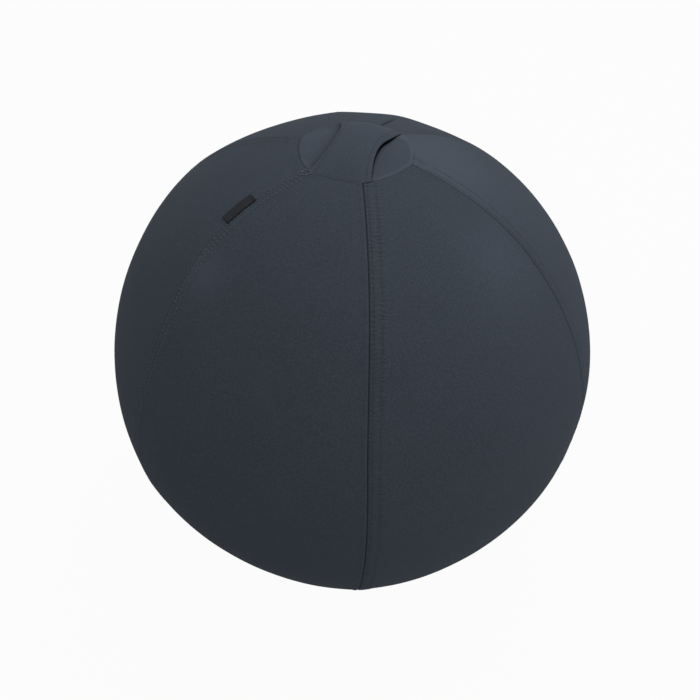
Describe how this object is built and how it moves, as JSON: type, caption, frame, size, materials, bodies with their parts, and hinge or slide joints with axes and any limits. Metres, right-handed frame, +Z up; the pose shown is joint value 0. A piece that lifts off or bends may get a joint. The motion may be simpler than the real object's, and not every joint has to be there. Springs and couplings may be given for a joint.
{
  "type": "sitting ball",
  "caption": "Fabric-covered inflatable sitting ball: long gore panels, round crown with a sewn carry handle, zipped base, inner bladder with valve and ballast.",
  "frame": {"origin": "centre of the flat patch on which the ball stands, on the floor", "axes": "+Z up through the crown, +Y along the handle from its front end to its back end, front faces -Y"},
  "size_m": [0.65, 0.6418, 0.6495],
  "materials": {
    "cover_fabric": "close plain weave, anthracite, slightly smooth",
    "base_fabric": "coated non-slip cloth",
    "webbing": "woven polyester webbing",
    "seam_binding": "woven tape",
    "label_weave": "fine woven tab, bare",
    "zip_tape": "knitted zip tape",
    "zip_coil": "moulded coil",
    "zip_metal": "dark lacquer",
    "bladder_vinyl": "smooth elastic vinyl",
    "valve_plastic": "moulded, smooth",
    "ballast_fill": "loose granulate"
  },
  "bodies": {
    "ball": {"gore_front": "cover_fabric", "gore_front_right": "cover_fabric", "gore_back_right": "cover_fabric", "gore_back": "cover_fabric", "gore_back_left": "cover_fabric", "gore_front_left": "cover_fabric", "seam_tapes": "seam_binding", "side_label": "label_weave", "base_disc": "base_fabric", "zip_tape_upper": "zip_tape", "zip_tape_lower": "zip_tape", "zip_chain_upper": "zip_coil", "zip_chain_lower": "zip_coil", "zip_stop_start": "zip_metal", "zip_stop_end": "zip_metal", "bladder": "bladder_vinyl", "valve_collar": "valve_plastic", "valve_plug": "valve_plastic", "ballast": "ballast_fill"},
    "crown": {"crown_disc": "cover_fabric", "crown_seam_tape": "seam_binding"},
    "handle": {"handle_lining": "cover_fabric", "handle_webbing": "webbing", "handle_strap": "cover_fabric"},
    "zip_slider": {"zip_slider": "zip_metal", "slider_bridge": "zip_metal", "pull_pin": "zip_metal"},
    "zip_pull": {"zip_pull": "zip_metal"}
  },
  "joints": [
    {"name": "seat_press", "type": "slide", "parent": "ball", "child": "crown", "axis": [0, 0, -1], "range_m": [0, 0.08], "stiffness_N_per_m": 9000, "deforming": ["gore_front", "gore_front_right", "gore_back_right", "gore_back", "gore_back_left", "gore_front_left", "seam_tapes", "bladder", "side_label"]},
    {"name": "handle_lift", "type": "slide", "parent": "crown", "child": "handle", "axis": [0, 0, 1], "range_m": [0, 0.015]},
    {"name": "zip_travel", "type": "hinge", "parent": "ball", "child": "zip_slider", "pos_m": [0, 0, 0], "axis": [0, 0, 1], "range_deg": [0, 296]},
    {"name": "pull_swing", "type": "hinge", "parent": "zip_slider", "child": "zip_pull", "pos_m": [-0.10162, 0.16326, 0.04987], "axis": [-0.4271, 0.6862, 0.5889], "range_deg": [-85, 85]}
  ]
}
